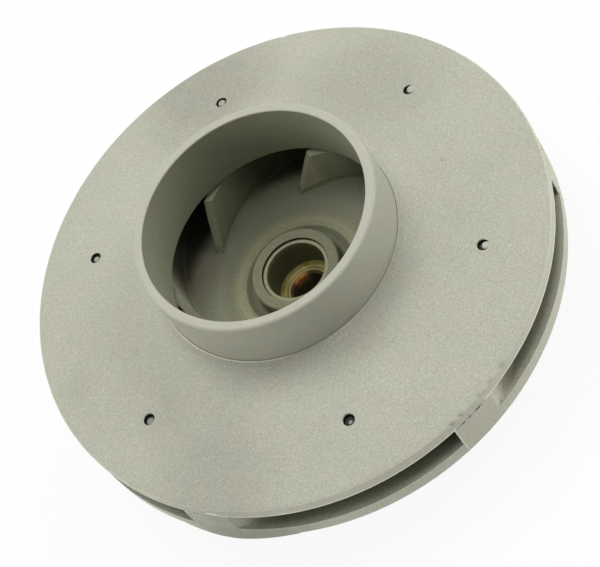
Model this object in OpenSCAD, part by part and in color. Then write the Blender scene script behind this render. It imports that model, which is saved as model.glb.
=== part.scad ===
// Closed pump impeller, standing on the end of its rear hub with the eye upwards.
// The axis is Z and z = 0 is the end of the rear hub. Heights named _h are measured
// from the rear face of the back shroud, radii from the axis.

/* [Shrouds] */
// Outside diameter of both shrouds
impeller_d = 140; // [120:1:180]
// Thickness of the back shroud at the rim
back_rim_t = 4.3; // [3:0.1:7]
// Fall of the back shroud's inner face from the rim to the floor of the eye
back_dish = 1.3; // [0:0.1:2]
// Clear width of the outlet between the shrouds at the rim
outlet_w = 7.1; // [5:0.1:12]
// Thickness of the front shroud at the rim
front_rim_t = 3.4; // [2.5:0.1:5]
// Cone angle of the front shroud's outer face, degrees from flat
outer_cone_deg = 8.1; // [6:0.1:10]
// Cone angle of the front shroud's inner face, degrees from flat
inner_cone_deg = 9.6; // [6:0.1:10.5]
// Rounding of the shrouds' outer edges
rim_round = 0.5; // [0.2:0.1:1]

/* [Eye neck] */
// Bore of the suction eye
eye_d = 59.6; // [52:0.2:66]
// Wall of the neck
neck_wall = 2.6; // [2:0.1:4]
// Height of the lip above the back shroud's rear face
lip_h = 36.4; // [32:0.1:48]
// Rounding of the lip's outer edge
lip_round = 0.8; // [0.3:0.1:1.2]
// Width of the flare round the foot of the neck
flare_w = 6.5; // [4:0.1:9]
// Height of the flare where it meets the neck, above the cone's line
flare_rise = 0.55; // [0.3:0.05:1.5]
// Width of the ledge where the turned neck ends in the flare
neck_ledge = 0.35; // [0.2:0.05:0.8]

/* [Vanes] */
// Number of vanes
vane_count = 6; // [4:1:7]
// Angle of the vanes from the tangent
vane_angle = 22; // [20:0.5:26]
// Thickness of a vane at the rim
vane_t_out = 4.4; // [3:0.1:5]
// Thickness of a vane at the eye
vane_t_in = 2; // [1.6:0.1:3]
// Radius at which a vane starts on the floor
vane_start_r = 26.25; // [25:0.25:28]
// Lean of the leading edge, back from upright
vane_lean = 30; // [15:1:32]
// Step down of the vanes' tops inside the eye, below its lower edge
vane_drop = 1.5; // [0.5:0.1:3]
// Reach of that step under the front shroud
vane_step_w = 1.2; // [0.5:0.1:3]

/* [Pegs] */
// Diameter of the circle of pegs
peg_circle_d = 107.7; // [96:0.5:116]
// Direction of one peg from the X axis
peg_phase = 53.46; // [40:0.5:70]
// Diameter of a peg on a vane
peg_d = 2.3; // [2:0.1:3]
// Clearance between a peg and its hole, all round
peg_gap = 0.4; // [0.1:0.05:0.6]
// Depth of a peg's end below the shroud's outer face
peg_sink = 0.8; // [0.3:0.1:1.2]

/* [Hub] */
// Outside diameter of the hub in the eye
hub_d = 24; // [22:0.2:26]
// Height of the hub's face
hub_h = 8; // [6.5:0.1:12]
// Bore of the hub above the insert
hub_bore_d = 16.2; // [13.5:0.1:17]
// Diameter of the step at the bore's mouth
mouth_d = 18.4; // [17.2:0.1:19.5]
// Depth of the step at the bore's mouth
mouth_depth = 0.7; // [0.4:0.1:1.5]
// Diameter of the raised ring round the hub
ring_d = 33.4; // [31:0.2:36]
// Height of the raised ring above the floor
ring_rise = 1.6; // [0.8:0.1:2]
// Reach of the raised ring's outer slope
ring_slope_w = 6; // [4:0.5:7]
// Chamfer at the hub's foot
hub_foot = 0.6; // [0.3:0.1:1]
// Chamfer round the hub's face
hub_edge = 0.3; // [0.1:0.05:0.5]

/* [Rear hub] */
// Diameter of the sleeve that carries the shaft seal
sleeve_d = 25.4; // [24:0.1:30]
// Length of the sleeve behind the back shroud
sleeve_len = 16; // [12:0.5:24]
// Fillet between the sleeve and the back shroud
sleeve_fillet = 1.5; // [0.5:0.1:3]
// Chamfer round the end of the sleeve
sleeve_chamfer = 0.6; // [0.3:0.1:1]

/* [Threaded insert] */
// Width across the flats of the insert
insert_af = 17.5; // [17:0.1:20]
// Depth of the insert's face below the back shroud's rear face
insert_depth = 2.3; // [1.5:0.1:5]
// Diameter of the hole inside the thread
thread_d = 9.8; // [8:0.1:11]
// Countersink of the thread's two mouths
thread_mouth = 1.4; // [0.5:0.1:1.6]
// Width of the groove that locks the insert in the hub
groove_w = 3; // [2:0.1:4]
// Depth of that groove below the insert's flats
groove_depth = 0.8; // [0.4:0.1:1]

/* [Hidden] */

$fn = 128;
plastic = [0.72, 0.72, 0.66];
brass = [0.72, 0.58, 0.25];
cut = 0.5;
arc_steps = 6;
spiral_steps = 40;
ring_steps = 8;

rim_r = impeller_d / 2;
eye_r = eye_d / 2;
neck_r = eye_r + neck_wall;
ledge_r = neck_r + neck_ledge;
flare_r = neck_r + flare_w;
peg_r = peg_circle_d / 2;
hub_r = hub_d / 2;
ring_r = ring_d / 2;
sleeve_r = sleeve_d / 2;
floor_r = ring_r + ring_slope_w;
floor_h = back_rim_t - back_dish;
outlet_h = back_rim_t + outlet_w;
rim_h = outlet_h + front_rim_t;
insert_len = sleeve_len - insert_depth;

// Height of the front shroud's inner and outer cone at a radius
function under_h(r) = outlet_h + (rim_r - r) * tan(inner_cone_deg);
function cone_h(r) = rim_h + (rim_r - r) * tan(outer_cone_deg);

// Points along an arc, from angle a to angle b
function arc(centre, r, a, b) =
    [for (i = [0:arc_steps]) let (t = a + (b - a) * i / arc_steps)
        [centre[0] + r * cos(t), centre[1] + r * sin(t)]];

// Flare from the cone up to the foot of the neck, hollow like a wide fillet
flare_top_h = cone_h(ledge_r) + flare_rise;
flare = [for (i = [1:arc_steps]) let (s = i / arc_steps, r = ledge_r + (flare_r - ledge_r) * s)
    [r, cone_h(r) + flare_rise * pow(1 - s, 2)]];

// Raised ring round the hub: a soft crest with a narrow inner and a wide outer slope
moat_r = hub_r + hub_foot;
function ring_z(r) =
    let (w = r < ring_r ? ring_r - moat_r : floor_r - ring_r)
    floor_h + ring_rise * (0.5 + 0.5 * cos(180 * min(1, abs(r - ring_r) / w)));
ring = [for (i = [0:ring_steps]) let (r = moat_r + (floor_r - moat_r) * i / ring_steps)
    [r, ring_z(r)]];

// Vane's middle line, a spiral at a constant angle through its peg. For an angle past the
// peg it gives the radius, the point and the outward normal, and for a radius the angle
function spiral_r(a) = peg_r * exp(-tan(vane_angle) * a * PI / 180);
function spiral_a(r) = ln(peg_r / r) / tan(vane_angle) * 180 / PI;
function along(a) = spiral_r(a) * [cos(a), sin(a)];
function outward(a) = [cos(a + vane_angle), sin(a + vane_angle)];
rim_a = spiral_a(rim_r);
tip_a = spiral_a(rim_r + vane_t_out);
start_a = spiral_a(vane_start_r);
function vane_t(a) = vane_t_in + (vane_t_out - vane_t_in) * (start_a - a) / (start_a - rim_a);
spiral_angles = [for (i = [0:spiral_steps]) tip_a + (start_a - tip_a) * i / spiral_steps];
vane_outline = concat(
    [for (a = spiral_angles) along(a) + outward(a) * vane_t(a) / 2],
    [for (i = [spiral_steps:-1:0]) let (a = spiral_angles[i]) along(a) - outward(a) * vane_t(a) / 2]);

// Places its children at each vane, turned so that the vane's peg lies on X
module each_vane() {
    for (k = [0:vane_count - 1])
        rotate([0, 0, peg_phase + k * 360 / vane_count])
            children();
}

// Half-section of the back shroud with its front and rear hub, solid to the axis
module body_section() {
    polygon(concat(
        [[0, -sleeve_len], [sleeve_r - sleeve_chamfer, -sleeve_len]],
        [[sleeve_r, sleeve_chamfer - sleeve_len]],
        arc([sleeve_r + sleeve_fillet, -sleeve_fillet], sleeve_fillet, 180, 90),
        arc([rim_r - rim_round, rim_round], rim_round, -90, 0),
        [[rim_r, back_rim_t]],
        [for (i = [ring_steps:-1:0]) ring[i]],
        [[hub_r, floor_h + hub_foot], [hub_r, hub_h - hub_edge], [hub_r - hub_edge, hub_h], [0, hub_h]]));
}

// Space between the shrouds that the vanes fill, from inside the back shroud's face
module vane_space() {
    rotate_extrude()
        difference() {
            polygon([
                [hub_r, floor_h / 2], [rim_r, floor_h / 2], [rim_r, outlet_h],
                [eye_r, under_h(eye_r)], [hub_r, under_h(eye_r)]]);
            translate([0, under_h(eye_r) - vane_drop])
                square([eye_r + vane_step_w, lip_h]);
        }
}

// One vane as drawn from above, with its leading edge leaning back
module vane() {
    start = along(start_a);
    difference() {
        linear_extrude(height = under_h(eye_r) + cut)
            polygon(vane_outline);
        translate([start[0], start[1], floor_h])
            rotate([0, 0, start_a + 90 + vane_angle])
                rotate([0, -vane_lean, 0])
                    translate([0, -vane_t_out, -2 * floor_h])
                        cube([rim_r, 2 * vane_t_out, 3 * lip_h]);
    }
}

// Peg on top of a vane, seen through its hole in the front shroud
module peg() {
    translate([peg_r, 0, floor_h])
        cylinder(d = peg_d, h = cone_h(peg_r) - peg_sink - floor_h);
}

// Outside of the insert: a hexagon with a locking groove, as it sits in the hub
module insert_blank() {
    difference() {
        translate([0, 0, -sleeve_len])
            cylinder(d = insert_af / cos(30), h = insert_len, $fn = 6);
        translate([0, 0, -sleeve_len + (insert_len - groove_w) / 2])
            difference() {
                cylinder(d = 2 * insert_af, h = groove_w);
                translate([0, 0, -cut])
                    cylinder(d = insert_af - 2 * groove_depth, h = groove_w + 2 * cut);
            }
    }
}

// Back shroud, hub, vanes and pegs, moulded in one
module impeller_body() {
    color(plastic)
        translate([0, 0, sleeve_len])
            difference() {
                union() {
                    rotate_extrude()
                        body_section();
                    intersection() {
                        each_vane() vane();
                        vane_space();
                    }
                    each_vane() peg();
                }
                translate([0, 0, -insert_depth])
                    cylinder(d = hub_bore_d, h = insert_depth + hub_h + cut);
                translate([0, 0, hub_h - mouth_depth])
                    cylinder(d = mouth_d, h = mouth_depth + cut);
                insert_blank();
            }
}

// Conical front shroud with the neck of the suction eye
module front_shroud() {
    color(plastic)
        translate([0, 0, sleeve_len])
            difference() {
                rotate_extrude()
                    polygon(concat(
                        [[eye_r, under_h(eye_r)], [rim_r, outlet_h]],
                        arc([rim_r - rim_round, rim_h - rim_round], rim_round, 0, 90 - outer_cone_deg),
                        [for (i = [arc_steps - 1:-1:0]) flare[i]],
                        [[ledge_r, flare_top_h], [neck_r, flare_top_h]],
                        arc([neck_r - lip_round, lip_h - lip_round], lip_round, 0, 90),
                        [[eye_r, lip_h]]));
                each_vane()
                    translate([peg_r, 0, outlet_h - cut])
                        cylinder(d = peg_d + 2 * peg_gap, h = lip_h);
            }
}

// Brass insert moulded into the hub, drilled for the pump shaft's thread
module threaded_insert() {
    mouth_r = thread_d / 2 + thread_mouth;
    color(brass)
        translate([0, 0, sleeve_len])
            difference() {
                insert_blank();
                translate([0, 0, -sleeve_len - cut])
                    cylinder(d = thread_d, h = insert_len + 2 * cut);
                translate([0, 0, -sleeve_len])
                    cylinder(r1 = mouth_r, r2 = mouth_r - thread_mouth, h = thread_mouth);
                translate([0, 0, -insert_depth - thread_mouth])
                    cylinder(r1 = mouth_r - thread_mouth, r2 = mouth_r, h = thread_mouth);
            }
}

impeller_body();
front_shroud();
threaded_insert();
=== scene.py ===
# Looks of the pump impeller: a closed impeller moulded in grey-green glass-filled plastic,
# with a threaded brass insert in its hub. Sizes are millimetres, as in the part's source, except
# where metres are named, and heights called h are measured from the back shroud's rear face.
import math

import bmesh
import bpy
from mathutils import Matrix, Vector, noise


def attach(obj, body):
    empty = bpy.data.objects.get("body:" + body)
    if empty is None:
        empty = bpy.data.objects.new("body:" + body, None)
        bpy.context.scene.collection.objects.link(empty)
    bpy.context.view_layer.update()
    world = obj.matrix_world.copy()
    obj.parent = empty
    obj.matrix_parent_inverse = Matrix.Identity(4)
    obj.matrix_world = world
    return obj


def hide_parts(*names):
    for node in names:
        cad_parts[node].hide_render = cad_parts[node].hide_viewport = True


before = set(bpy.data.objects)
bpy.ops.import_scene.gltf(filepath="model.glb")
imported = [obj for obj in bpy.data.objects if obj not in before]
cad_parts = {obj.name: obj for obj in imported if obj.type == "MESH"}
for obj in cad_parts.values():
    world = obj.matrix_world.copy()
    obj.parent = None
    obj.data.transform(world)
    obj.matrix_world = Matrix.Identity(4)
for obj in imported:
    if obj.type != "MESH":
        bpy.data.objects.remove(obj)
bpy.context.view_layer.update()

MM = 0.001

# Height of the back shroud's rear face over the end of the rear sleeve, where the frame starts
SLEEVE_LEN = 16.0

# Front shroud
RIM_R = 70.0
OUTLET_H = 11.4
RIM_H = 14.8
RIM_ROUND = 0.5
OUTER_CONE_DEG = 8.1
OUTER_SLOPE = math.tan(math.radians(OUTER_CONE_DEG))
INNER_SLOPE = math.tan(math.radians(9.6))
EYE_R = 29.8
NECK_R = 32.4
LEDGE_R = 32.75
FLARE_R = 38.9
FLARE_RISE = 0.55
LIP_H = 36.4
LIP_ROUND = 0.8
SHROUD_STEPS = 720
SHROUD_SHARP = 30
NECK_GROOVE_W = 0.16
NECK_GROOVE_DEPTH = 0.20
RIM_WAVE = 0.05
RIM_WAVE_REACH = 1.0

# Vanes and pegs
VANES = 6
PITCH = 360 / VANES
PEG_R = 53.85
PEG_PHASE = 53.46
PEG_HOLE_R = 1.55
PEG_HOLE_WEAR = 0.02
PEG_HOLE_STEPS = 32
VANE_ANGLE = math.radians(22)
VANE_T_OUT = 4.4
VANE_T_IN = 2.0
VANE_START_R = 26.25
VANE_LEAN = math.tan(math.radians(30))
VANE_DROP = 1.5
FILLET = 1.1
FILLET_ROOT = 0.4

# Back shroud and its hub
BACK_RIM = 4.3
FLOOR_H = 3.0
FLOOR_R = 22.7
HUB_R = 12.0
HUB_H = 8.0
BORE_MOUTH_R = 9.2

# Brass insert
INSERT_AF = 17.5
INSERT_TOP = -2.3
INSERT_END = -16.0
INSERT_STEPS = 144
INSERT_CHAMFER = 0.2
MOUTH_R = 6.3
GROOVE_W = 3.0
GROOVE_DEPTH = 0.8
THREAD_MINOR_R = 4.9
THREAD_DEPTH = 0.62
THREAD_PITCH = 1.27
THREAD_MARGIN = 0.95
THREAD_FADE = 0.6
THREAD_STEPS = 128
TOOTH_SLOPE = 2.6
TOOTH_FLAT = 0.15

# Turned face of the insert, from its edge in to the thread: radius, and height from its top
INSERT_FACE = (
    (8.25, -0.02), (8.08, 0.0), (7.88, 0.0), (7.8, -0.1), (6.95, -0.1), (6.85, 0.0), (6.6, 0.0),
    (6.5, -0.08), (MOUTH_R, -0.1), (5.5, -0.42), (5.4, -0.55), (THREAD_MINOR_R + 0.1, -0.9),
)

# Low swelling under the rim, in degrees and millimetres
BURR_FROM = -113.0
BURR_TO = -87.0
BURR_OUT = 0.95
BURR_HANG = 1.9

# Flash: a fine line up the end of each vane, and a sliver on the rim
FLASH_W = 0.42
SLIVER_W = 1.0
SLIVER_FROM = -103.2
SLIVER_SWEEP = 3.8
SLIVER_H = 13.15
SLIVER_FALL = 0.70

# Nicks in the rim and the lip: angle, radius, height, reach and depth
NICKS = (
    (143.0, 31.6, 36.4, 0.9, 0.35),
    (-33.5, 70.0, 14.6, 1.3, 0.40),
    (-37.5, 70.0, 14.5, 1.0, 0.30),
    (-41.0, 70.0, 14.7, 1.1, 0.35),
    (-48.4, 70.0, 14.3, 1.0, 0.50),
    (-46.0, 70.0, 14.6, 0.9, 0.40),
    (-47.3, 70.0, 13.1, 0.7, 0.30),
    (-62.0, 70.0, 11.5, 0.8, 0.20),
    (12.0, 70.0, 14.6, 0.9, 0.25),
    (-140.0, 70.0, 14.6, 1.2, 0.25),
    (95.0, 70.0, 14.6, 1.2, 0.25),
)
NICK_SLANT = 0.7

# Melted tips of the pegs by the angle of their hole: shift in x and y from its axis, radius,
# depth below the face, and level
TIPS = {
    53.46: (0.50, 0.22, 1.14, 0.05, 0.95),
    113.46: (0.02, -0.04, 1.04, 0.25, 0.72),
    173.46: (0.10, -0.15, 0.80, 0.45, 0.72),
    -126.54: (0.30, -0.42, 1.08, 0.40, 0.50),
    -66.54: (0.22, -0.32, 0.62, 0.75, 0.60),
    -6.54: (0.64, -0.05, 1.04, 0.14, 1.0),
}
TIP_STEPS = 20
TIP_LEN = 1.2
TIP_WOBBLE = 0.06
TIP_REACH = 6.0

# Photograph's frame, and the camera at its viewing angle
IMAGE_W = 600
FOCAL_PX = 2112.2
SENSOR_MM = 36.0
CAMERA_PLACE = Vector((195.73, -264.70, 452.89)) * MM
CAMERA_RIGHT = Vector((0.924310, 0.070746, -0.375027))
CAMERA_UP = Vector((0.124970, 0.872385, 0.472576))
CAMERA_BACK = Vector((0.360600, -0.483674, 0.797513))

# Colours, linear
PLASTIC_GREEN = (0.462, 0.470, 0.378)
PLASTIC_BEIGE = (0.474, 0.469, 0.378)
PLASTIC_GREY = (0.468, 0.467, 0.388)
WELD_BROWN = (0.13, 0.09, 0.05)
TIP_PLASTIC = (0.49, 0.485, 0.41)
# Flash painted near white: a painted highlight on its thin edges
FLASH_HIGHLIGHT_PLASTIC = (0.90, 0.89, 0.80)
STAIN_BROWN = (0.30, 0.25, 0.17)
BRASS_OLIVE = (0.46, 0.42, 0.06)
BRASS_PALE = (0.72, 0.63, 0.26)
# Painted shade on the insert's countersink, and painted highlight and shade in its thread
COUNTERSINK_SHADE_BROWN = (0.26, 0.20, 0.07)
THREAD_HIGHLIGHT_ORANGE = (1.0, 0.42, 0.10)
THREAD_SHADE_DARK = (0.11, 0.075, 0.03)
FLOOR_WHITE = (0.9, 0.9, 0.89)

# Painted shade inside the eye and round the hub, as a share of the plastic's colour elsewhere
INSIDE_SHADE_TINT = (0.68, 0.675, 0.60)
HUB_SHADE_TINT = (0.68, 0.68, 0.51)

# Levels of painted light and shade on single places: below one is painted shade, above one painted
# light
HUB_LEVEL = 0.70
BORE_LEVEL = 0.70
MOAT_LEVEL = 0.55
STEP_LEVEL = 0.22
STEP_RING_LEVEL = 1.5
PASSAGE_LEVEL = 0.24
SIDE_LEVEL = 1.06
NOSE_LEVEL = 1.35
BRIGHT_NOSE_LEVEL = 1.89
TOP_LEVEL = 1.3
SHADED_TOP_LEVEL = 0.806
OUTLET_LEVEL = 1.25
RIM_LIGHT_LEVEL = 1.3
EDGE_HIGHLIGHT_LEVEL = 1.55
PEG_HOLE_LEVEL = 0.08
LEDGE_LEVEL = 1.12
LIT_LEDGE_LEVEL = 1.5
TURNED_LINE_HIGHLIGHT = 1.08

# Sectors round the axis with their own painted light or shade, and the dark weld's sector: from, to and
# softness in degrees
BRIGHT_NOSE = (84.0, 104.0, 10.0)
SHADED_TOP = (-165.0, -130.0, 10.0)
LIT_LEDGE = (-128.0, -96.0, 30.0)
LIT_THREAD = (118.0, 142.0, 22.0)
DARK_WELD = (-48.0, -40.0, 2.0)
FAINT_WELD_SHARE = 0.2
DARK_WELD_SHARE = 0.9

# Speckle and grain of the plastic, and the turned lines on its neck and on the brass. The speckle
# has one amount where the surface is smooth and one where it is coarse.
SPECKLE_SCALE = 2.1
SPECKLE_AMOUNT = (0.2, 0.62)
GRAIN_SCALE = 5.0
GRAIN_AMOUNT = 0.4
PLASTIC_LINE_SCALE = 2.2
LINE_AMOUNT = 0.16
BRASS_LINE_SCALE = 5.0
NECK_FROM_H = 19.0

# Roughness from its smoothest to its dullest patches, and depth of the relief
PLASTIC_ROUGHNESS = (0.55, 0.72)
PLASTIC_SPECULAR = 0.35
PLASTIC_RELIEF = 0.03
MOLTEN_ROUGHNESS = 0.5
MOLTEN_RELIEF = 0.05
BRASS_ROUGHNESS = (0.35, 0.55)
BRASS_RELIEF = 0.02
BRASS_METALLIC = 0.45
THREAD_METALLIC = 0.05

# Brown stain on the floor of the eye: x, y, height and reach
STAIN = (-32.0, 5.0, 3.0, 11.0)
STAIN_SHARE = 0.6

# Marks on the front shroud, small specks and wide patches of painted shade: angle, radius, height,
# reach and darkening
SPECKS_AND_PAINTED_SHADE = (
    (116.0, 60.0, 16.2, 34.0, 0.24),
    (-150.0, 63.0, 15.8, 9.0, 0.06),
    (-101.1, 48.4, 17.9, 1.6, 0.10),
    (-122.0, 52.0, 17.3, 12.0, 0.07),
    (-102.0, 64.0, 15.7, 28.0, 0.16),
    (68.0, 50.0, 17.6, 36.0, 0.14),
    (24.6, 46.6, 18.1, 0.6, 0.35),
)

# The same on the body: a wide patch of painted shade low on the back rim
BODY_PAINTED_SHADE = (
    (-97.0, 70.0, 1.5, 30.0, 0.36),
)

# Painted highlights on the raised turned rings of the insert's face: inner radius, outer radius and
# softness
BRASS_RING_HIGHLIGHTS = (
    (7.92, 8.05, 0.05),
    (6.6, 6.8, 0.06),
    (5.6, 5.78, 0.06),
)

# Lamps round the part: azimuth, elevation and watts
LAMPS = (
    (0, 90, 2.4),
    (126, 65, 5.4),
    (36, 40, 3.0),
    (82, 40, 1.4),
    (172, 40, 1.8),
    (-8, 18, 1.4),
    (36, 18, 2.8),
    (216, 18, 4.0),
)
WORLD_LEVEL = 0.15
FLOOR_WHITE_SHARE = 0.92

# Sizes of the studio, in metres
LAMP_SIZE = 0.6
LAMP_DISTANCE = 1.2
LAMP_AIM = Vector((0, 0, 0.03))
FLOOR_HALF = 4.0
CAMERA_CLIP = (0.05, 20)


def at(r, degrees, h):
    """Point in metres from a radius, an angle and a height above the back shroud's rear face."""
    a = math.radians(degrees)
    return Vector((r * math.cos(a), r * math.sin(a), h + SLEEVE_LEN)) * MM


def cone_h(r):
    return RIM_H + (RIM_R - r) * OUTER_SLOPE


def under_h(r):
    return OUTLET_H + (RIM_R - r) * INNER_SLOPE


def floor_h(r):
    share = min(max((r - FLOOR_R) / (RIM_R - FLOOR_R), 0), 1)
    return FLOOR_H + (BACK_RIM - FLOOR_H) * share


def between(a, b, count):
    """Evenly spaced values from a to b, in a number of steps."""
    return [a + (b - a) * i / count for i in range(count + 1)]


def add_object(name, data):
    thing = bpy.data.objects.new(name, data)
    bpy.context.scene.collection.objects.link(thing)
    return thing


def add_piece(name, verts, faces, material, sharp):
    """A closed mesh that rides on the part, smooth except at edges over the sharp angle."""
    mesh = bpy.data.meshes.new(name)
    mesh.from_pydata(verts, [], faces)
    piece = add_object(name, mesh)
    mesh.materials.append(material)
    dress(mesh, sharp)
    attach(piece, "root")
    return piece


def dress(mesh, sharp):
    """Turns the faces outwards and marks the edges over the sharp angle."""
    build = bmesh.new()
    build.from_mesh(mesh)
    bmesh.ops.recalc_face_normals(build, faces=build.faces)
    limit = math.radians(sharp)
    for face in build.faces:
        face.smooth = True
    for edge in build.edges:
        edge.smooth = len(edge.link_faces) == 2 and edge.calc_face_angle(0) < limit
    build.to_mesh(mesh)
    build.free()


def closed_grid(rows):
    """Vertices and faces of a closed tube of equal closed rows that meet end to end."""
    n = len(rows[0])
    verts = [v for row in rows for v in row]
    faces = []
    for i in range(len(rows)):
        a, b = i * n, (i + 1) % len(rows) * n
        for j in range(n):
            k = (j + 1) % n
            faces.append((a + j, b + j, b + k, a + k))
    return verts, faces


def swept(rows):
    """Vertices and faces of a bar through equal closed rows, capped at both ends."""
    n = len(rows[0])
    verts = [v for row in rows for v in row]
    faces = [tuple(range(n - 1, -1, -1)), tuple((len(rows) - 1) * n + j for j in range(n))]
    for i in range(len(rows) - 1):
        for j in range(n):
            k = (j + 1) % n
            faces.append((i * n + j, (i + 1) * n + j, (i + 1) * n + k, i * n + k))
    return verts, faces


def joined(parts):
    """Vertices and faces of several meshes as one."""
    verts, faces = [], []
    for part_verts, part_faces in parts:
        start = len(verts)
        verts += part_verts
        faces += [tuple(start + i for i in face) for face in part_faces]
    return verts, faces


# Vane's middle line, as in the source
def spiral_r(a):
    return PEG_R * math.exp(-math.tan(VANE_ANGLE) * a)


def spiral_a(r):
    return math.log(PEG_R / r) / math.tan(VANE_ANGLE)


START_A = spiral_a(VANE_START_R)
RIM_A = spiral_a(RIM_R)


def vane_t(a):
    return VANE_T_IN + (VANE_T_OUT - VANE_T_IN) * (START_A - a) / (START_A - RIM_A)


def vane_side(a, side):
    """Foot of a vane's outer (+1) or inner (-1) side, with the outward normal of that side."""
    normal = Vector((math.cos(a + VANE_ANGLE), math.sin(a + VANE_ANGLE)))
    middle = Vector((math.cos(a), math.sin(a))) * spiral_r(a)
    return middle + normal * side * vane_t(a) / 2, normal * side


def end_edge(side):
    """Angle from a vane's peg at which one side of the vane reaches the rim."""
    low, high = RIM_A - 0.3, RIM_A + 0.3
    for _ in range(40):
        middle = (low + high) / 2
        if vane_side(middle, side)[0].length > RIM_R:
            low = middle
        else:
            high = middle
    foot = vane_side(low, side)[0]
    return math.degrees(math.atan2(foot.y, foot.x))


END_FROM, END_TO = sorted((end_edge(1), end_edge(-1)))


def worn(r, degrees, h):
    """Radius and height of a point of the front shroud after its nicks."""
    for angle, nick_r, nick_h, reach, depth in NICKS:
        if abs(h - nick_h) > reach or abs(r - nick_r) > reach:
            continue
        along = (degrees - angle + 180) % 360 - 180
        across = math.radians(along) * r
        far = math.sqrt(across ** 2 + (h - nick_h) ** 2 + (r - nick_r) ** 2) / reach
        if far < 1:
            push = NICK_SLANT * depth * (1 - far * far) ** 2
            r -= push
            h -= push
    return r, h


def shroud_profile():
    """Section of the front shroud: underside, chamfer and rim, cone, flare, neck, lip and eye."""
    lip = [(NECK_R - LIP_ROUND * (1 - math.cos(a)), LIP_H - LIP_ROUND * (1 - math.sin(a)))
           for a in between(0, math.pi / 2, 7)]
    edge = [(RIM_R - RIM_ROUND * (1 - math.cos(a)), RIM_H - RIM_ROUND * (1 - math.sin(a)))
            for a in between(0, math.radians(90 - OUTER_CONE_DEG), 6)]
    flare = [(r, cone_h(r) + FLARE_RISE * ((FLARE_R - r) / (FLARE_R - LEDGE_R)) ** 2)
             for r in between(FLARE_R, LEDGE_R, 12)]
    foot_h = flare[-1][1]
    groove_h = foot_h - NECK_GROOVE_DEPTH
    points = [(r, under_h(r)) for r in between(EYE_R + 0.15, RIM_R - 1.2, 9)]
    points += [(RIM_R - 0.5, under_h(RIM_R - 0.5)), (RIM_R - 0.14, under_h(RIM_R - 0.14))]
    points += [(RIM_R - 0.03, OUTLET_H + 0.13)]
    points += [(RIM_R, h) for h in between(OUTLET_H + 0.3, RIM_H - RIM_ROUND - 0.3, 7)]
    points += edge
    points += [(r, cone_h(r)) for r in between(RIM_R - 0.9, FLARE_R + 1, 22)]
    points += flare
    points += [(LEDGE_R - 0.08, foot_h + 0.03), (NECK_R + NECK_GROOVE_W, groove_h + 0.02)]
    points += [(NECK_R + 0.02, groove_h), (NECK_R, foot_h + 0.1)]
    points += [(NECK_R, h) for h in between(foot_h + 0.8, LIP_H - LIP_ROUND - 0.5, 11)]
    points += lip
    points += [(EYE_R + 0.9, LIP_H), (EYE_R + 0.18, LIP_H), (EYE_R, LIP_H - 0.18)]
    points += [(EYE_R, h) for h in between(LIP_H - 1.2, under_h(EYE_R) + 0.9, 12)]
    points += [(EYE_R, under_h(EYE_R) + 0.15)]
    return points


def add_shroud(material):
    """Front shroud with a slightly wavy rim, its nicks and its peg holes."""
    profile = shroud_profile()
    rows = []
    for i in range(SHROUD_STEPS):
        degrees = i * 360 / SHROUD_STEPS - 180
        row = []
        for r, h in profile:
            if r > RIM_R - RIM_WAVE_REACH:
                wave = noise.noise(Vector((degrees * 0.35, h * 0.8, 3.0)))
                r -= RIM_WAVE * max(wave, 0)
            r, h = worn(r, degrees, h)
            row.append(at(r, degrees, h))
        rows.append(row)
    verts, faces = closed_grid(rows)
    shroud = add_piece("shroud_detail", verts, faces, material, SHROUD_SHARP)
    cut_holes(shroud)
    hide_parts("front_shroud")


def cut_holes(shroud):
    """Six peg holes with slightly worn mouths, cut by one mesh of turned plugs."""
    top = cone_h(PEG_R)
    profile = ((PEG_HOLE_R, under_h(PEG_R) - 4), (PEG_HOLE_R, top - 0.4),
               (PEG_HOLE_R + PEG_HOLE_WEAR * 0.3, top - 0.15),
               (PEG_HOLE_R + PEG_HOLE_WEAR * 2.5, top + 0.35))
    parts = []
    for k in range(VANES):
        centre = at(PEG_R, PEG_PHASE + k * PITCH, 0)
        rows = []
        for r, h in profile:
            turns = [2 * math.pi * i / PEG_HOLE_STEPS for i in range(PEG_HOLE_STEPS)]
            rows.append([centre + Vector((r * math.cos(a), r * math.sin(a), h)) * MM for a in turns])
        parts.append(swept(rows))
    verts, faces = joined(parts)
    mesh = bpy.data.meshes.new("hole_cutter")
    mesh.from_pydata(verts, [], faces)
    dress(mesh, SHROUD_SHARP)
    cutter = add_object("hole_cutter", mesh)
    tool = shroud.modifiers.new("holes", "BOOLEAN")
    tool.operation = "DIFFERENCE"
    tool.solver = "EXACT"
    tool.object = cutter
    cut = bpy.data.meshes.new_from_object(shroud.evaluated_get(bpy.context.evaluated_depsgraph_get()))
    shroud.modifiers.clear()
    shroud.data = cut
    cut.name = "shroud_detail"
    dress(cut, SHROUD_SHARP)
    bpy.data.objects.remove(cutter)


def hex_r(degrees):
    """Radius of the insert's hexagon, with its corners at 0, 60 and so on."""
    return INSERT_AF / 2 / math.cos(math.radians(degrees % 60 - 30))


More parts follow.
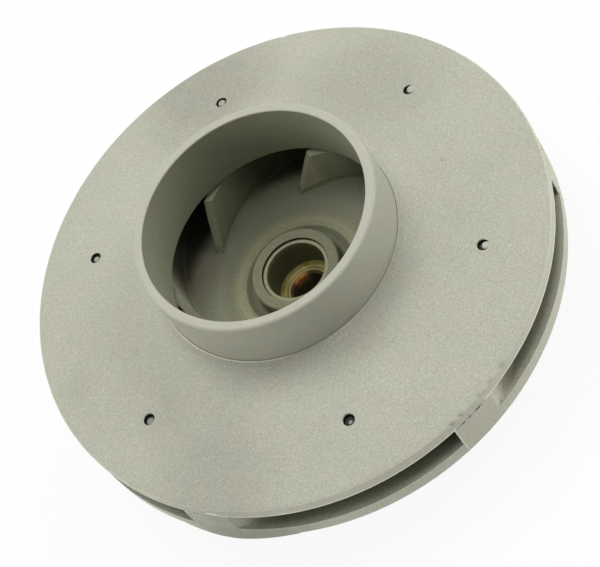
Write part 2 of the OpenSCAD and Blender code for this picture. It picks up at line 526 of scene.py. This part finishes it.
def add_insert(material):
    """Brass insert: hexagon with a locking groove outside, cut thread and turned face inside."""
    middle = (INSERT_TOP + INSERT_END) / 2
    groove = (middle - GROOVE_W / 2, middle + GROOVE_W / 2)
    thread = between(INSERT_TOP - THREAD_MARGIN, INSERT_END + THREAD_MARGIN, THREAD_STEPS)
    rows = []
    for i in range(INSERT_STEPS):
        degrees = i * 360 / INSERT_STEPS
        out = hex_r(degrees)
        waist = min(out, INSERT_AF / 2 - GROOVE_DEPTH)
        section = [(out - INSERT_CHAMFER, INSERT_END), (out, INSERT_END + INSERT_CHAMFER),
                   (out, groove[0]), (waist, groove[0]), (waist, groove[1]), (out, groove[1]),
                   (out, INSERT_TOP - 0.02)]
        section += [(r, INSERT_TOP + h) for r, h in INSERT_FACE]
        for h in thread:
            phase = (h / THREAD_PITCH + degrees / 360) % 1
            tooth = min(max(TOOTH_SLOPE * abs(phase - 0.5) - TOOTH_FLAT, 0), 1)
            fade = min(1, (thread[0] - h) / THREAD_FADE, (h - thread[-1]) / THREAD_FADE)
            section.append((THREAD_MINOR_R + THREAD_DEPTH * (1 - tooth) * max(fade, 0), h))
        section.append((MOUTH_R, INSERT_END))
        rows.append([at(r, degrees, h) for r, h in section])
    verts, faces = closed_grid(rows)
    insert = add_piece("insert_detail", verts, faces, material, sharp=40)
    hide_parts("threaded_insert")


def quarter(foot, start, end):
    """One foot point with normals that turn a quarter from the start's to the end's."""
    return [(foot, start * math.cos(a) + end * math.sin(a)) for a in between(0.0, math.pi / 2, 5)]


def vane_outline(forward):
    """Foot points and outward normals from the rim round a vane's leading edge and back."""
    outer = [vane_side(a, 1) for a in between(RIM_A - 0.1, START_A - 0.004, 90)]
    inner = [vane_side(a, -1) for a in between(START_A - 0.004, RIM_A - 0.1, 60)]
    path = [(foot, normal) for foot, normal in outer if foot.length < RIM_R - 0.15]
    foot, normal = vane_side(START_A, 1)
    path += quarter(foot, normal, forward)
    foot, normal = vane_side(START_A, -1)
    path += quarter(foot, forward, normal)
    return path + [(foot, normal) for foot, normal in inner if foot.length < RIM_R - 0.1]


def add_fillets(material):
    """Moulded fillet round the foot of each vane, narrower where it would reach past the rim."""
    arc = [(FILLET * (1 - math.cos(a)), FILLET * (1 - math.sin(a))) for a in between(0, math.pi / 2, 6)]
    section = arc + [(FILLET, -FILLET_ROOT), (-FILLET_ROOT, -FILLET_ROOT), (-FILLET_ROOT, FILLET)]
    side = vane_side(START_A, 1)[1]
    forward = Vector((-side.y, side.x))
    path = vane_outline(forward)
    parts = []
    for k in range(VANES):
        spin = Matrix.Rotation(math.radians(PEG_PHASE + k * PITCH), 2)
        rows = []
        for foot, normal in path:
            lean = max(normal.dot(forward), 0) * VANE_LEAN
            room = (RIM_R - 0.08 - foot.length) / max(normal.dot(foot.normalized()), 0.01) / FILLET
            room = min(max(room, 0.05), 1)
            row = []
            for out, up in section:
                out, up = out * room, up * room
                p = foot + normal * out - forward * lean * max(up, 0)
                q = spin @ p
                row.append(Vector((q.x, q.y, floor_h(p.length) + up + SLEEVE_LEN)) * MM)
            rows.append(row)
        parts.append(swept(rows))
    verts, faces = joined(parts)
    add_piece("vane_fillets", verts, faces, material, sharp=50)


def dome(centre, radius, top):
    """A low rounded cap with an uneven outline, closed below."""
    rings = ((1.0, -TIP_LEN), (1.0, -0.22), (0.93, -0.09), (0.78, -0.02), (0.5, 0.0), (0.2, 0.01))
    rows = []
    for share, h in rings:
        row = []
        for i in range(TIP_STEPS):
            a = 2 * math.pi * i / TIP_STEPS
            c, s = math.cos(a), math.sin(a)
            wobble = 1 + TIP_WOBBLE * noise.noise(Vector((c * 1.3, s * 1.3, centre.x * 90)))
            r = radius * share * wobble
            row.append(centre + Vector((c * r, s * r, top + h)) * MM)
        rows.append(row)
    return swept(rows)


def add_tips(material):
    """Molten end of each peg, different in every hole."""
    parts = []
    for degrees, (x, y, radius, depth, _) in TIPS.items():
        centre = at(PEG_R, degrees, 0) + Vector((x, y, 0)) * MM
        parts.append(dome(centre, radius, cone_h(PEG_R) - depth))
    verts, faces = joined(parts)
    add_piece("peg_tips", verts, faces, material, sharp=60)


def bead(path, width):
    """A thin raised line up the rim through points of radius, degrees and height."""
    turn = math.degrees(width / 2 / RIM_R)
    rows = []
    for r, degrees, h in path:
        rows.append([at(r - 0.2, degrees - turn, h - width / 3),
                     at(r + width * 0.4, degrees - turn * 0.3, h),
                     at(r + width * 0.4, degrees + turn * 0.3, h),
                     at(r - 0.2, degrees + turn, h + width / 3)])
    return swept(rows)


def ribbon(path, width):
    """A thin raised strip along the rim through points of radius, degrees and height."""
    rows = []
    for index, (r, degrees, h) in enumerate(path):
        w = width * math.sin(math.pi * (index + 0.6) / (len(path) + 0.2))
        rows.append([at(r - 0.2, degrees, h - w / 2), at(r + 0.28, degrees, h - w / 4),
                     at(r + 0.22, degrees, h + w / 5), at(r - 0.2, degrees, h + w / 2)])
    return swept(rows)


def add_flash(material):
    """Moulding flash: a fine line up the sharp edge of each vane's end, and a sliver on the rim."""
    parts = []
    for k in range(VANES):
        degrees = PEG_PHASE + k * PITCH + END_FROM
        path = []
        for h in between(0.6, OUTLET_H, 18):
            wave = noise.noise(Vector((k * 7.0, h * 0.9, 1.5)))
            path.append((RIM_R + 0.02 + 0.05 * wave, degrees - 0.08 + 0.10 * wave, h))
        parts.append(bead(path, FLASH_W))
    path = []
    for share in between(0.0, 1.0, 10):
        wave = noise.noise(Vector((share * 5, 4.0, 2.0)))
        path.append((RIM_R - 0.08 + 0.1 * math.sin(math.pi * share),
                     SLIVER_FROM + SLIVER_SWEEP * share,
                     SLIVER_H - SLIVER_FALL * share + 0.12 * wave))
    parts.append(ribbon(path, SLIVER_W))
    verts, faces = joined(parts)
    add_piece("flash", verts, faces, material, sharp=50)


def add_burr(material):
    """Low swelling of the back shroud's rim along its lower edge, on one side. Where it would stand
    out of the part's box it hangs a little below the edge."""
    rows = []
    for degrees in between(BURR_FROM, BURR_TO, 24):
        share = (degrees - BURR_FROM) / (BURR_TO - BURR_FROM)
        size = BURR_OUT * math.sin(math.pi * share) ** 1.2
        out = min(size, (RIM_R - 0.01) / abs(math.sin(math.radians(degrees))) - RIM_R)
        low = 0.02 - BURR_HANG * (size - out)
        section = ((-1.2, 0.02), (out - 0.5, low), (out, low), (out, 0.4), (out * 0.45, 1.6),
                   (-0.01, 3.2), (-0.4, 3.2))
        rows.append([at(RIM_R + r, degrees, h) for r, h in section])
    verts, faces = swept(rows)
    add_piece("rim_burr", verts, faces, material, sharp=50)


class Shade:
    """Node tree of one material, with places in millimetres from the part's axis."""

    def __init__(self, name):
        self.material = bpy.data.materials.new(name)
        self.material.use_nodes = True
        self.tree = self.material.node_tree
        self.shader = self.tree.nodes["Principled BSDF"]
        place = self.tree.nodes.new("ShaderNodeTexCoord").outputs["Object"]
        self.spot = self.vector("MULTIPLY", place, (1 / MM, 1 / MM, 1 / MM))
        split = self.tree.nodes.new("ShaderNodeSeparateXYZ")
        self.join(split.inputs[0], self.spot)
        self.h = self.calc("SUBTRACT", split.outputs["Z"], SLEEVE_LEN)
        self.r = self.vector("LENGTH", self.vector("MULTIPLY", self.spot, (1, 1, 0)))
        turn = self.calc("ARCTAN2", split.outputs["Y"], split.outputs["X"])
        self.degrees = self.product(turn, 180 / math.pi)

    def join(self, socket, value):
        if isinstance(value, bpy.types.NodeSocket):
            self.tree.links.new(value, socket)
        else:
            socket.default_value = value

    def calc(self, kind, a, b=0.0):
        node = self.tree.nodes.new("ShaderNodeMath")
        node.operation = kind
        self.join(node.inputs[0], a)
        self.join(node.inputs[1], b)
        return node.outputs[0]

    def product(self, *values):
        total = values[0]
        for value in values[1:]:
            total = self.calc("MULTIPLY", total, value)
        return total

    def rest(self, share):
        """What a share leaves of one."""
        return self.calc("SUBTRACT", 1.0, share)

    def vector(self, kind, a, b=(0, 0, 0)):
        node = self.tree.nodes.new("ShaderNodeVectorMath")
        node.operation = kind
        self.join(node.inputs[0], a)
        self.join(node.inputs[1], b)
        return node.outputs["Value" if kind in ("LENGTH", "DISTANCE") else "Vector"]

    def step(self, value, start, end, low=0.0, high=1.0):
        """Smooth change from low to high while the value goes from start to end."""
        node = self.tree.nodes.new("ShaderNodeMapRange")
        node.interpolation_type = "SMOOTHSTEP"
        for socket, given in zip(node.inputs, (value, start, end, low, high)):
            self.join(socket, given)
        return node.outputs[0]

    def above(self, value, limit, soft):
        """Nothing up to the limit, and one from a soft width above it."""
        return self.step(value, limit, limit + soft)

    def below(self, value, limit, soft):
        """One up to the limit, and nothing from a soft width above it."""
        return self.step(value, limit + soft, limit)

    def band(self, value, start, end, soft):
        """One from start to end, and nothing beyond a soft width outside them."""
        return self.product(self.above(value, start - soft, soft), self.below(value, end, soft))

    def blend(self, share, low, high):
        """From low, where the share is nothing, to high, where it is one."""
        return self.step(share, 0.0, 1.0, low, high)

    def level(self, share, high):
        """One where the share is nothing, and the given level where it is one."""
        return self.blend(share, 1.0, high)

    def noise(self, scale, detail, where=None):
        node = self.tree.nodes.new("ShaderNodeTexNoise")
        self.join(node.inputs["Vector"], where or self.spot)
        node.inputs["Scale"].default_value = scale
        node.inputs["Detail"].default_value = detail
        return node.outputs[0]

    def patches(self, scale, detail, start, end, low=0.0, high=1.0):
        """Noise with its values from start to end stretched to go from low to high."""
        return self.step(self.noise(scale, detail), start, end, low, high)

    def swing(self, value, amount):
        """One with a noise value's swing round a half, times an amount, added to it."""
        return self.calc("ADD", self.product(value, amount), 1 - amount / 2)

    def turned(self, scale):
        """Noise drawn out along the turning direction, as from a lathe tool."""
        node = self.tree.nodes.new("ShaderNodeCombineXYZ")
        self.join(node.inputs[0], self.r)
        self.join(node.inputs[1], self.product(self.degrees, 0.02))
        self.join(node.inputs[2], self.h)
        return self.noise(scale, 3.0, node.outputs[0])

    def mix(self, share, a, b):
        node = self.tree.nodes.new("ShaderNodeMix")
        node.data_type = "RGBA"
        for socket, given in ((node.inputs[0], share), (node.inputs[6], a), (node.inputs[7], b)):
            self.join(socket, given)
        return node.outputs[2]

    def near(self, x, y, h, reach):
        """One at a place, falling to nothing at a distance of its reach."""
        far = self.vector("DISTANCE", self.spot, (x, y, h + SLEEVE_LEN))
        return self.step(far, reach, 0.0)

    def near_turned(self, r, degrees, h, reach):
        """The same with the place given by a radius and an angle."""
        a = math.radians(degrees)
        return self.near(r * math.cos(a), r * math.sin(a), h, reach)

    def paint(self, colour, level):
        """Base colour, made darker or paler by the level."""
        node = self.tree.nodes.new("ShaderNodeVectorMath")
        node.operation = "SCALE"
        self.join(node.inputs[0], colour)
        self.join(node.inputs["Scale"], level)
        self.join(self.shader.inputs["Base Color"], node.outputs[0])

    def bump(self, height, depth):
        node = self.tree.nodes.new("ShaderNodeBump")
        node.inputs["Distance"].default_value = depth * MM
        self.join(node.inputs["Height"], height)
        self.join(self.shader.inputs["Normal"], node.outputs[0])


def rgba(colour, tint=(1, 1, 1)):
    return (*(c * t for c, t in zip(colour, tint)), 1)


def plastic(name, inside, rim_depth, specks_and_shade):
    """Glass-filled moulding: matt, speckled, drifting from green-grey to beige; painted light at the
    rims.
    The inside function gives the share of the surface within the eye that has painted shade."""
    s = Shade(name)
    rim = s.above(s.r, RIM_R - rim_depth, rim_depth * 0.4)
    ends = on_vane_ends(s)
    colour = s.mix(s.patches(0.13, 2.0, 0.35, 0.65), rgba(PLASTIC_GREEN), rgba(PLASTIC_BEIGE))
    colour = s.mix(s.product(s.patches(0.6, 1.0, 0.3, 0.7), 0.4), colour, rgba(PLASTIC_GREY))
    # Painted shade inside the eye and the passages, darker and yellower round the hub
    colour = s.mix(inside(s), colour, rgba(PLASTIC_GREEN, INSIDE_SHADE_TINT))
    colour = s.mix(round_hub(s), colour, rgba(PLASTIC_GREEN, HUB_SHADE_TINT))
    colour = s.mix(weld_marks(s, rim, ends), colour, rgba(WELD_BROWN))
    colour = s.mix(stained(s), colour, rgba(STAIN_BROWN))

    neck = s.product(s.below(s.r, NECK_R + 0.1, 0.2), s.above(s.h, NECK_FROM_H, 0.6))
    coarse = s.rest(s.calc("MAXIMUM", neck, s.product(rim, 0.5)))
    speckle = s.noise(SPECKLE_SCALE, 1.5)
    grain = s.noise(GRAIN_SCALE, 1.0)
    lines = s.turned(PLASTIC_LINE_SCALE)
    fine = s.product(s.calc("SUBTRACT", speckle, 0.5), s.blend(coarse, *SPECKLE_AMOUNT))
    fine = s.calc("ADD", fine, s.product(s.calc("SUBTRACT", grain, 0.5), GRAIN_AMOUNT))
    level = s.product(s.calc("ADD", fine, 1.0), s.swing(s.noise(0.07, 3.0), 0.10))
    # Painted light on the rims
    level = s.product(level, s.level(rim, RIM_LIGHT_LEVEL))
    # Painted light and shade on the hub, the passages, the peg holes and the neck's foot
    level = s.product(level, hub_light_and_shade(s), passage_light_and_shade(s), peg_shade(s), foot_highlights(s))
    level = s.calc("ADD", level, s.product(s.calc("SUBTRACT", lines, 0.5), neck, LINE_AMOUNT))
    # Specks, and wide patches of painted shade
    cloudy = s.swing(s.noise(0.25, 2.0), 0.8)
    for degrees, r, h, reach, dark in specks_and_shade:
        mark = s.product(s.near_turned(r, degrees, h, reach), cloudy)
        level = s.product(level, s.level(mark, 1 - dark))
    # Painted highlight along the lower edge of the front rim
    level = s.product(level, s.level(lower_edge_highlight(s, ends), EDGE_HIGHLIGHT_LEVEL))

    s.paint(colour, level)
    s.join(s.shader.inputs["Roughness"], s.patches(0.6, 2.0, 0.3, 0.7, *PLASTIC_ROUGHNESS))
    s.shader.inputs["Specular IOR Level"].default_value = PLASTIC_SPECULAR
    relief = s.calc("ADD", s.product(speckle, coarse), s.product(lines, neck, 0.5))
    s.bump(s.calc("ADD", relief, s.product(grain, 0.5)), PLASTIC_RELIEF)
    return s.material


def eye_side(s):
    """Inside of the neck, but not its lip."""
    return s.product(s.below(s.r, EYE_R + 0.5, 0.7), s.below(s.h, LIP_H - 0.6, 0.55))


def within_rims(s):
    """All of the body but its rim and its rear side."""
    return s.product(s.below(s.r, RIM_R - 2.4, 2.3), s.above(s.h, 0.4, 0.8))


def round_hub(s):
    """Hub, its bore and the floor round it, but nothing of the rear side."""
    in_bore = s.product(s.below(s.r, BORE_MOUTH_R - 0.2, 0.2), s.above(s.h, INSERT_TOP - 0.1, 0.3))
    front = s.calc("MAXIMUM", s.above(s.h, 0.8, 0.4), in_bore)
    return s.product(s.below(s.r, 16.0, 6.0), s.below(s.h, HUB_H + 0.3, 0.7), front)


def on_vane_ends(s):
    """Ends of the vanes, seen round the rim."""
    past = s.calc("FLOORED_MODULO", s.calc("SUBTRACT", s.degrees, END_FROM + PEG_PHASE), PITCH)
    return s.band(past, 0.5, END_TO - END_FROM - 1.5, 0.4)


def weld_marks(s, rim, ends):
    """Dashes along the weld above the vane ends, dark on one of them and faint on the others."""
    joint = s.product(s.band(s.h, OUTLET_H - 0.25, OUTLET_H + 0.35, 0.15), rim)
    strength = s.blend(s.band(s.degrees, *DARK_WELD), FAINT_WELD_SHARE, DARK_WELD_SHARE)
    return s.product(joint, ends, s.patches(0.55, 2.0, 0.47, 0.55), strength)


def lower_edge_highlight(s, ends):
    """Chamfer along the lower edge of the front rim, between the vane ends, for a painted highlight."""
    edge = s.product(s.band(s.h, OUTLET_H - 0.1, OUTLET_H + 0.55, 0.1), s.above(s.r, RIM_R - 0.3, 0.1))
    return s.product(edge, s.rest(ends))


def stained(s):
    cloudy = s.patches(0.4, 2.0, 0.25, 0.6)
    return s.product(s.near(*STAIN), s.above(s.h, 1.0, 0.5), cloudy, STAIN_SHARE)


def hub_light_and_shade(s):
    """Painted shade on hub, bore, moat and the step at the bore's mouth; painted highlight on its
    ledge.
    """
    low = s.product(s.below(s.h, HUB_H + 0.2, 0.1), s.above(s.h, INSERT_TOP + 0.1, 0.3))
    hub = s.product(s.below(s.r, HUB_R + 0.3, 0.3), low)
    moat = s.product(s.band(s.r, HUB_R + 0.2, 14.6, 1.0), s.band(s.h, 1.0, 4.6, 1.0))
    step = s.product(s.band(s.r, BORE_MOUTH_R - 0.25, BORE_MOUTH_R + 0.1, 0.12),
                     s.band(s.h, 6.0, HUB_H - 0.15, 0.06))
    ring = s.product(s.below(s.r, BORE_MOUTH_R - 0.3, 0.1), s.above(s.h, 6.2, 0.4))
    bore = s.product(s.below(s.r, BORE_MOUTH_R - 0.35, 0.1), s.below(s.h, 5.0, 1.0),
                     s.above(s.h, INSERT_TOP - 0.1, 0.2))
    return s.product(s.level(hub, HUB_LEVEL), s.level(bore, BORE_LEVEL), s.level(moat, MOAT_LEVEL),
                     s.level(step, STEP_LEVEL), s.level(ring, STEP_RING_LEVEL))


def passage_light_and_shade(s):
    """Painted shade in passages behind the eye; painted light on vane noses, tops and outlets."""
    roof = s.calc("ADD", s.product(s.calc("SUBTRACT", RIM_R, s.r), INNER_SLOPE), OUTLET_H)
    under = s.below(s.calc("SUBTRACT", s.h, roof), 0.05, 0.25)
    in_rim = s.below(s.r, RIM_R - 0.2, 0.12)
    deep = s.product(s.above(s.r, 28.5, 7.5), s.below(s.r, 62.0, 8.5), under, s.above(s.h, 1.0, 1.0))
    nose = s.product(s.above(s.r, 24.8, 0.8), s.below(s.r, 27.0, 7.0), s.above(s.h, 3.8, 2.2), under)
    outlet = s.product(s.above(s.r, 67.0, 2.6), in_rim, under, s.above(s.h, 0.5, 1.0))
    side = s.product(s.above(s.r, 65.8, 2.8), in_rim, under, s.above(s.h, 4.6, 0.8))
    top_h = under_h(EYE_R) - VANE_DROP
    top = s.product(s.band(s.r, 25.6, 31.0, 0.2), s.band(s.h, top_h - 0.08, top_h + 0.1, 0.08))
    nose_level = s.blend(s.band(s.degrees, *BRIGHT_NOSE), NOSE_LEVEL, BRIGHT_NOSE_LEVEL)
    top_level = s.blend(s.band(s.degrees, *SHADED_TOP), TOP_LEVEL, SHADED_TOP_LEVEL)
    return s.product(s.level(deep, PASSAGE_LEVEL), s.level(side, SIDE_LEVEL), s.level(nose, nose_level),
                     s.level(top, top_level), s.level(outlet, OUTLET_LEVEL))


def peg_shade(s):
    """Painted shade on the walls of the peg holes and the sides of the pegs."""
    face_h = cone_h(PEG_R)
    past = s.calc("FLOORED_MODULO", s.calc("SUBTRACT", s.degrees, PEG_PHASE - PITCH / 2), PITCH)
    across = s.product(s.calc("SUBTRACT", past, PITCH / 2), math.radians(PEG_R))
    out = s.calc("SUBTRACT", s.r, PEG_R)
    far = s.calc("SQRT", s.calc("ADD", s.product(across, across), s.product(out, out)))
    sunk = s.product(s.below(s.h, face_h - 0.45, 0.3), s.above(s.h, 13.0, 0.5))
    return s.level(s.product(s.below(far, PEG_HOLE_R + 0.03, 0.09), sunk), PEG_HOLE_LEVEL)


def foot_highlights(s):
    """Painted highlight on the ledge's edge at the neck's foot, and a fainter one on a turned line
    outside it.
    """
    front = s.above(s.h, 17.0, 0.2)
    ledge = s.product(s.band(s.r, NECK_R + 0.2, LEDGE_R + 0.2, 0.06), s.below(s.h, 20.0, 5.0), front)
    line = s.product(s.band(s.r, 34.5, 34.7, 0.12), s.patches(0.2, 1.0, 0.45, 0.55), front)
    lit = s.product(ledge, s.band(s.degrees, *LIT_LEDGE))
    return s.product(s.level(ledge, LEDGE_LEVEL), s.level(lit, LIT_LEDGE_LEVEL),
                     s.level(line, TURNED_LINE_HIGHLIGHT))


def molten(name, colour):
    """Melted or thin plastic: smoother, a little uneven; on the flash, paler as a painted highlight."""
    s = Shade(name)
    level = s.product(s.swing(s.noise(2.5, 2.0), 0.4), s.swing(s.noise(0.9, 1.0), 0.3))
    for degrees, (_, _, _, _, tip_level) in TIPS.items():
        near = s.near_turned(PEG_R, degrees, cone_h(PEG_R), TIP_REACH)
        level = s.product(level, s.step(near, 0.2, 0.3, 1.0, tip_level))
    s.paint(colour, level)
    s.shader.inputs["Roughness"].default_value = MOLTEN_ROUGHNESS
    s.bump(s.noise(3.0, 2.0), MOLTEN_RELIEF)
    return s.material


def dulled_brass():
    """Turned brass, oily olive; painted highlights and shade on its face and in its thread."""
    s = Shade("insert_brass")
    colour = s.mix(s.patches(0.7, 3.0, 0.35, 0.65), rgba(BRASS_OLIVE), rgba(BRASS_PALE))
    # Painted shade on the countersink
    colour = s.mix(s.product(s.band(s.r, 5.9, 6.55, 0.1), 0.8), colour, rgba(COUNTERSINK_SHADE_BROWN))
    rings = 0.0
    for start, end, soft in BRASS_RING_HIGHLIGHTS:
        rings = s.calc("MAXIMUM", s.band(s.r, start, end, soft), rings)
    colour = s.mix(s.product(rings, 0.8), colour, rgba(BRASS_PALE))
    # Painted shade in the thread, with a painted orange highlight on one side
    hole = s.product(s.below(s.r, 5.5, 0.1), s.band(s.h, INSERT_END + 0.5, INSERT_TOP - 0.45, 0.1))
    lit = s.product(s.band(s.degrees, *LIT_THREAD), s.above(s.h, INSERT_TOP - 5.0, 4.0),
                    s.patches(0.9, 2.0, 0.2, 0.45))
    colour = s.mix(hole, colour, s.mix(lit, rgba(THREAD_SHADE_DARK), rgba(THREAD_HIGHLIGHT_ORANGE)))
    lines = s.turned(BRASS_LINE_SCALE)
    s.paint(colour, s.product(s.swing(lines, 0.5), s.swing(s.noise(2.0, 3.0), 0.4)))
    s.join(s.shader.inputs["Metallic"], s.blend(hole, BRASS_METALLIC, THREAD_METALLIC))
    s.join(s.shader.inputs["Roughness"], s.patches(1.2, 3.0, 0.3, 0.7, *BRASS_ROUGHNESS))
    s.bump(lines, BRASS_RELIEF)
    return s.material


def add_camera():
    data = bpy.data.cameras.new("camera")
    data.sensor_width = SENSOR_MM
    data.lens = FOCAL_PX * SENSOR_MM / IMAGE_W
    data.clip_start, data.clip_end = CAMERA_CLIP
    camera = add_object("camera", data)
    turn = Matrix((CAMERA_RIGHT, CAMERA_UP, CAMERA_BACK)).transposed()
    camera.matrix_world = Matrix.Translation(CAMERA_PLACE) @ turn.to_4x4()
    bpy.context.scene.camera = camera


def add_floor():
    mesh = bpy.data.meshes.new("floor")
    corners = [(x * FLOOR_HALF, y * FLOOR_HALF, 0) for x, y in ((-1, -1), (1, -1), (1, 1), (-1, 1))]
    mesh.from_pydata(corners, [], [(0, 1, 2, 3)])
    floor = add_object("floor", mesh)
    mesh.materials.append(white_floor())


def white_floor():
    """White floor that keeps a soft shadow. The camera sees it lifted to plain white."""
    material = bpy.data.materials.new("floor")
    material.use_nodes = True
    nodes, links = material.node_tree.nodes, material.node_tree.links
    diffuse = nodes["Principled BSDF"]
    diffuse.inputs["Base Color"].default_value = rgba(FLOOR_WHITE)
    diffuse.inputs["Roughness"].default_value = 1.0
    diffuse.inputs["Specular IOR Level"].default_value = 0.0
    glow = nodes.new("ShaderNodeEmission")
    both = nodes.new("ShaderNodeMixShader")
    seen = nodes.new("ShaderNodeMixShader")
    path = nodes.new("ShaderNodeLightPath")
    both.inputs[0].default_value = FLOOR_WHITE_SHARE
    links.new(diffuse.outputs[0], both.inputs[1])
    links.new(glow.outputs[0], both.inputs[2])
    links.new(path.outputs["Is Camera Ray"], seen.inputs[0])
    links.new(diffuse.outputs[0], seen.inputs[1])
    links.new(both.outputs[0], seen.inputs[2])
    links.new(seen.outputs[0], nodes["Material Output"].inputs["Surface"])
    return material


def add_world():
    """Even soft light, seen by the camera as plain white."""
    world = bpy.data.worlds.new("world")
    world.use_nodes = True
    nodes, links = world.node_tree.nodes, world.node_tree.links
    soft = nodes["Background"]
    soft.inputs["Color"].default_value = (1, 1, 1, 1)
    soft.inputs["Strength"].default_value = WORLD_LEVEL
    white = nodes.new("ShaderNodeBackground")
    path = nodes.new("ShaderNodeLightPath")
    mix = nodes.new("ShaderNodeMixShader")
    links.new(path.outputs["Is Camera Ray"], mix.inputs[0])
    links.new(soft.outputs[0], mix.inputs[1])
    links.new(white.outputs[0], mix.inputs[2])
    links.new(mix.outputs[0], nodes["World Output"].inputs["Surface"])
    bpy.context.scene.world = world


def add_lamps():
    for index, (azimuth, elevation, watts) in enumerate(LAMPS):
        data = bpy.data.lights.new("lamp_%d" % index, "AREA")
        data.shape = "DISK"
        data.size = LAMP_SIZE
        data.energy = watts
        lamp = add_object("lamp_%d" % index, data)
        a, e = math.radians(azimuth), math.radians(elevation)
        away = Vector((math.cos(a) * math.cos(e), math.sin(a) * math.cos(e), math.sin(e)))
        lamp.location = LAMP_AIM + away * LAMP_DISTANCE
        lamp.rotation_mode = "QUATERNION"
        lamp.rotation_quaternion = away.to_track_quat("Z", "Y")


shroud_plastic = plastic("shroud_plastic", eye_side, 0.4, SPECKS_AND_PAINTED_SHADE)
body_plastic = plastic("body_plastic", within_rims, 0.08, BODY_PAINTED_SHADE)
brass = dulled_brass()

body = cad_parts["impeller_body"]
body.data.materials.clear()
body.data.materials.append(body_plastic)

add_shroud(shroud_plastic)
add_insert(brass)
add_fillets(body_plastic)
add_tips(molten("peg_tip", TIP_PLASTIC))
add_flash(molten("flash", FLASH_HIGHLIGHT_PLASTIC))
add_burr(body_plastic)

add_camera()
add_floor()
add_world()
add_lamps()
bpy.context.scene.view_settings.view_transform = "Standard"
